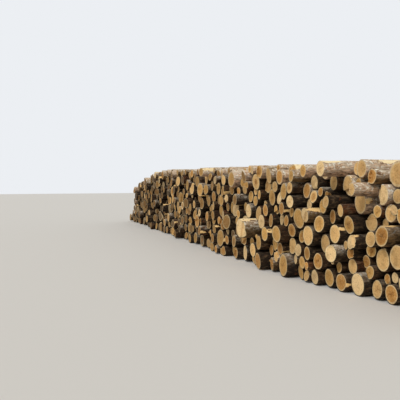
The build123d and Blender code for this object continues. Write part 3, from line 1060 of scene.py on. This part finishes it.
@dataclass
class LogHeap:
    """The whole heap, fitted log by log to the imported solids.

    Attributes:
        stems: The measured logs.
        seed: Seed of what differs from log to log.
        shown_run: Length of the near part whose logs are all finely modelled.
        turned: Share of the logs whose pattern is turned end for end.
        sway: How far a log's middle may stray sideways.
        bark_thickness: How far a bare place lies below the bark.
        frayed: How far the bark may fall short of the saw cut.
        slack: How far a log falls short of its solid all round, as a share of the radius.
        most_oval: How much narrower a log may be across, as a share of the radius.
        waves: Lobes round the log, pitch along it and size of each wave of its surface.
        swell: Mean of a wave's size along the log, and how much it swells and fades.
        pith_stray: How far the pith may lie off the middle, as a share of the radius.
        rim: Share of the radius from which a vertex lies on the bark's edge.
        rim_end: Share of the length from the middle on which that edge lies.
        smooth_below: Angle in degrees below which faces are shaded as one.
        patterns: The modelled patterns of each grade.
    """

    stems: list[Stem]
    seed: int = 11
    shown_run: float = 4.6
    turned: float = 0.5
    sway: float = 0.007
    bark_thickness: float = 0.008
    frayed: float = 0.012
    slack: float = 0.025
    most_oval: float = 0.07
    waves: tuple = ((3, 1.1, 0.016), (5, 2.3, 0.01), (8, 4.1, 0.006), (11, 7.3, 0.006))
    swell: tuple[float, float] = (0.6, 0.4)
    pith_stray: float = 0.1
    rim: float = 0.985
    rim_end: float = 0.49
    smooth_below: float = 40.0
    patterns: dict[Grade, list[bpy.types.Object]] = field(default_factory=dict)

    def build(self) -> list[bpy.types.Object]:
        """Build every node's logs.

        Returns:
            The finished pieces.
        """
        finishes = BarkFinish().material(), SawnFinish().material()
        ends = [(EndKind.PLAIN, EndKind.CHECKED), (EndKind.CHECKED, EndKind.PLAIN),
                (EndKind.STEPPED, EndKind.PLAIN), (EndKind.TORN, EndKind.CHECKED),
                (EndKind.PLAIN, EndKind.PLAIN)]
        sizes = {Grade.SHOWN: (36, 20), Grade.COMMON: (28, 8)}
        for grade, (sides, spans) in sizes.items():
            self.patterns[grade] = [
                LogPattern(grade, front, back, sides, spans).build() for front, back in ends]
        all_patterns = [pattern for group in self.patterns.values() for pattern in group]
        for pattern in all_patterns:
            for finish in finishes:
                pattern.data.materials.append(finish)
        pieces = [self.build_node(node) for node in sorted({stem.node for stem in self.stems})]
        for pattern in all_patterns:
            bpy.data.objects.remove(pattern)
        return pieces

    def build_node(self, node: str) -> bpy.types.Object:
        """Build the logs of one node as one piece.

        Args:
            node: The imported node's name.

        Returns:
            The piece that stands for the node.
        """
        logs = [self.fit(stem, number) for number, stem in enumerate(self.stems) if stem.node == node]
        take_up(*logs)
        bpy.ops.object.join()
        piece = bpy.context.view_layer.objects.active
        piece.name = node.replace("_logs", "_barked_logs")
        take_up(piece)
        bpy.ops.object.shade_smooth_by_angle(angle=math.radians(self.smooth_below))
        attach(piece, "root")
        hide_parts(node)
        LOG.info("%s: %d logs, %d faces", piece.name, len(logs), len(piece.data.polygons))
        return piece

    def open_sky(self, stem: Stem) -> float:
        """Work out the share of the sky above a log that no other log hides.

        Args:
            stem: The log's measures.

        Returns:
            The share, from 0 to 1.
        """
        beside = np.array([other.x - stem.x for other in self.stems])
        above = np.array([other.z - stem.z for other in self.stems])
        radii = np.array([other.collar_radius for other in self.stems])
        free = 0
        for degrees in SKY_WAYS:
            way = math.radians(degrees)
            run = beside * math.cos(way) + above * math.sin(way)
            off = np.abs(beside * math.sin(way) - above * math.cos(way))
            free += not np.any((run > SKY_START) & (off < radii))
        return free / len(SKY_WAYS)

    @staticmethod
    def mark_of(stem: Stem) -> Mark | None:
        """Return the mark that belongs to a log, if one does."""
        nearest = min(MARKS, key=lambda mark: mark.miss(stem))
        return nearest if nearest.miss(stem) < MARK_REACH else None

    def fit(self, stem: Stem, number: int) -> bpy.types.Object:
        """Copy a pattern and fit it to one log.

        Args:
            stem: The log's measures.
            number: The log's number, which seeds its own chance.

        Returns:
            The fitted log.
        """
        chance = random.Random(f"{self.seed} {number}")
        sky = self.open_sky(stem)
        far = (NEAR_TOE_X - stem.x) / (2.0 * NEAR_TOE_X)
        look = LogLook.choose(chance, sky, far, self.mark_of(stem))
        shown = sky > OPEN_SKY or stem.x > NEAR_TOE_X - self.shown_run
        source = chance.choice(self.patterns[Grade.SHOWN if shown else Grade.COMMON])
        log = source.copy()
        log.data = source.data.copy()
        log.hide_render = False
        bpy.context.scene.collection.objects.link(log)
        mesh = log.data
        points = read(mesh.vertices, "co", 3, np.float64)
        if chance.random() < self.turned:
            points = np.column_stack((-points[:, 0], STEM_LENGTH - points[:, 1], points[:, 2]))
        turn = chance.uniform(0.0, FULL_TURN)
        across = np.hypot(points[:, 0], points[:, 2])
        angle = np.arctan2(points[:, 2], points[:, 0]) + turn
        share = points[:, 1] / STEM_LENGTH
        front, back = stem.front(stem.x, stem.z), stem.back(stem.x, stem.z)
        y = front + (back - front) * share
        bare = look.bareness(angle, y - front) * (across > BARK_EDGE)
        radius = stem.radius(y) * self.lumps(angle, y, chance) - self.bark_thickness * bare
        middle = np.sin(np.pi * np.clip(share, 0.0, 1.0)) ** 2
        x = stem.x + across * radius * np.cos(angle) + middle * chance.uniform(-self.sway, self.sway)
        z = stem.z + across * radius * np.sin(angle) + middle * chance.uniform(-self.sway, self.sway)
        rim = (across > self.rim) & (np.abs(share - 0.5) > self.rim_end)
        fray = np.array([chance.random() ** 2 for _ in range(int(rim.sum()))]) * self.frayed
        depth = stem.front(x, z) * (1.0 - share) + stem.back(x, z) * share
        depth[rim] += fray * np.where(share[rim] < 0.5, 1.0, -1.0)
        fitted = np.column_stack((x, depth, z))
        mesh.vertices.foreach_set("co", fitted.ravel())
        self.dress(mesh, look, across, angle, bare)
        self.lay_grain(mesh, stem, fitted, chance)
        mesh.update()
        return log

    def lumps(self, angle: Array, y: Array, chance: random.Random) -> Array:
        """Work out how the log's surface strays from its solid at places on its side.

        Args:
            angle: Place round the log.
            y: Place along the log.
            chance: The log's own chance.

        Returns:
            Shares of the solid's radius, below 1 nearly everywhere.
        """
        narrower = chance.uniform(0.0, self.most_oval)
        oval = narrower * (1.0 + np.cos(2.0 * angle + chance.uniform(0.0, FULL_TURN))) / 2.0
        waves = np.zeros_like(angle)
        for lobes, pitch, size in self.waves:
            lean = chance.uniform(-1.0, 1.0)
            phase = chance.uniform(0.0, FULL_TURN)
            along = self.swell[0] + self.swell[1] * np.cos(pitch * y + phase)
            waves += size * np.sin(lobes * angle + pitch * lean * y + phase) * along
        return 1.0 - self.slack - oval + waves

    @staticmethod
    def paint(mesh: bpy.types.Mesh, name: str, values: Array) -> None:
        """Store a number or a colour for every vertex.

        Args:
            mesh: The log's mesh.
            name: Name of the attribute.
            values: One number for each vertex, or its red, green and blue.
        """
        if values.ndim == 1:
            mesh.attributes.new(name, "FLOAT", "POINT").data.foreach_set("value", values)
        else:
            whole = np.column_stack((values, np.ones(len(values)))).astype(np.float32)
            mesh.attributes.new(name, "FLOAT_COLOR", "POINT").data.foreach_set("color", whole.ravel())

    def dress(self, mesh: bpy.types.Mesh, look: LogLook, across: Array, angle: Array,
              bare: Array) -> None:
        """Give a log its own colours, with the painted light and shade of its bark and its sawn ends.

        Args:
            mesh: The log's mesh.
            look: The log's look.
            across: Share of the radius at each vertex.
            angle: Place round the log at each vertex.
            bare: How bare each vertex is.
        """
        count = len(across)
        wear_and_sky_light = look.weathering_and_sky_light(angle, across)
        self.paint(mesh, "lit_bark_base", np.tile(look.bark, (count, 1)))
        self.paint(mesh, "bark_look", np.column_stack((np.full(count, look.tone), bare, wear_and_sky_light)))
        self.paint(mesh, "cut_base", np.tile(look.wood, (count, 1)))
        self.paint(mesh, "cut_look", np.tile((look.tone, look.heart_share, look.heart), (count, 1)))
        self.paint(mesh, "across", across)
        self.paint(mesh, "light", np.full(count, look.light))

    def lay_grain(self, mesh: bpy.types.Mesh, stem: Stem, points: Array, chance: random.Random) -> None:
        """Lay the grain's map over a log: flat on the ends, wrapped round the side.

        Args:
            mesh: The log's mesh.
            stem: The log's measures.
            points: The log's vertices.
            chance: The log's own chance, which places the pith.
        """
        corners = read(mesh.loops, "vertex_index")
        totals = read(mesh.polygons, "loop_total")
        sawn = np.repeat(read(mesh.polygons, "material_index"), totals) == 1
        stray = self.pith_stray
        pith = Vector((chance.uniform(-stray, stray), chance.uniform(-stray, stray))) * stem.collar_radius
        places = points[corners]
        flat = places[:, (0, 2)] - np.array((stem.x + pith.x, stem.z + pith.y))
        faces = np.repeat(np.arange(len(totals)), totals)
        sums = np.column_stack([np.bincount(faces, places[:, axis]) for axis in (0, 2)])
        centres = sums / totals[:, None] - np.array((stem.x, stem.z))
        centre_turn = np.arctan2(centres[:, 1], centres[:, 0])[faces]
        own_turn = np.arctan2(places[:, 2] - stem.z, places[:, 0] - stem.x)
        own_turn += FULL_TURN * np.round((centre_turn - own_turn) / FULL_TURN)
        side = np.column_stack((own_turn * stem.collar_radius, places[:, 1]))
        grain = np.where(sawn[:, None], flat, side)
        if not mesh.uv_layers.get("grain"):
            mesh.uv_layers.new(name="grain")
        for other in [layer.name for layer in mesh.uv_layers if layer.name != "grain"]:
            mesh.uv_layers.remove(mesh.uv_layers[other])
        mesh.uv_layers["grain"].data.foreach_set("uv", grain.astype(np.float32).ravel())


@dataclass
class Studio:
    """A plain pale floor, soft light, and the camera at the photograph's angle."""

    floor_size: float = 90.0
    floor_colour: Colour = linear(214, 212, 208)
    floor_roughness: float = 0.95
    sky_colour: Colour = linear(242, 238, 230)
    sky_strength: float = 0.56
    backdrop: Colour = linear(236, 239, 243)
    sun_way: tuple[float, float, float] = (-0.35, 0.62, -0.7)
    sun_strength: float = 1.8
    sun_degrees: float = 25.0
    eye_from_toe: float = 3.7
    eye_from_face: float = 4.12
    eye_height: float = 1.6
    heading: tuple[float, float] = (-0.9455, 0.3256)
    horizon_drop: float = 22.0
    focal_pixels: float = 540.0
    frame_pixels: float = 400.0
    sensor: float = 36.0
    clip: tuple[float, float] = (0.05, 500.0)

    def build(self) -> None:
        """Make the floor, the light and the camera."""
        self.lay_floor()
        self.light()
        self.place_camera()

    def lay_floor(self) -> None:
        """Lay the floor, which isn't part of the heap."""
        take_up()
        bpy.ops.mesh.primitive_plane_add(size=self.floor_size, location=(0.0, 0.0, 0.0))
        floor = bpy.context.view_layer.objects.active
        floor.name = "studio_floor"
        bpy.ops.object.transform_apply(location=True, rotation=True, scale=True)
        graph = Graph("pale_floor")
        graph.shader.inputs["Base Color"].default_value = self.floor_colour
        graph.shader.inputs["Roughness"].default_value = self.floor_roughness
        floor.data.materials.append(graph.material)

    @staticmethod
    def turn_to(thing: bpy.types.Object, way: Vector) -> None:
        """Turn a lamp or a camera to face a way."""
        thing.rotation_mode = "QUATERNION"
        thing.rotation_quaternion = way.to_track_quat("-Z", "Y")

    def light(self) -> None:
        """Light the heap softly from the sky and from over the viewer's shoulder."""
        world = bpy.data.worlds.new("soft_sky")
        bpy.context.scene.world = world
        world.use_nodes = True
        wiring = Wiring(world.node_tree)
        sky = wiring.add("ShaderNodeBackground", {0: self.sky_colour, 1: self.sky_strength})
        seen = wiring.add("ShaderNodeBackground", {0: self.backdrop, 1: 1.0})
        ray = wiring.add("ShaderNodeLightPath").outputs
        shown = ray["Is Camera Ray"]
        for kind in ("Is Glossy Ray", "Is Transmission Ray"):
            shown = wiring.math("MAXIMUM", shown, ray[kind])
        mix = wiring.add("ShaderNodeMixShader", {0: shown, 1: sky.outputs[0], 2: seen.outputs[0]})
        wiring.add("ShaderNodeOutputWorld", {0: mix.outputs[0]})
        sun = bpy.data.lights.new("soft_sun", "SUN")
        sun.energy = self.sun_strength
        sun.angle = math.radians(self.sun_degrees)
        lamp = bpy.data.objects.new("soft_sun", sun)
        self.turn_to(lamp, Vector(self.sun_way))
        bpy.context.scene.collection.objects.link(lamp)

    def place_camera(self) -> None:
        """Place the camera where the photograph was taken from."""
        data = bpy.data.cameras.new("viewer")
        data.sensor_width = self.sensor
        data.lens = self.focal_pixels / self.frame_pixels * self.sensor
        data.clip_start, data.clip_end = self.clip
        camera = bpy.data.objects.new("viewer", data)
        camera.location = (NEAR_TOE_X + self.eye_from_toe, FACE_LINE_Y - self.eye_from_face, self.eye_height)
        tilt = math.atan(self.horizon_drop / self.focal_pixels)
        level = math.cos(tilt)
        self.turn_to(camera, Vector((self.heading[0] * level, self.heading[1] * level, -math.sin(tilt))))
        bpy.context.scene.collection.objects.link(camera)
        bpy.context.scene.camera = camera
        bpy.context.scene.view_settings.view_transform = "Standard"


def main() -> None:
    """Build the heap and the studio."""
    stems = StemReader(frame["nodes"]).read_all()
    LOG.info("%d logs measured", len(stems))
    pieces = LogHeap(stems).build()
    LOG.info("%d pieces built", len(pieces))
    Studio().build()


if __name__ == "__main__":
    main()
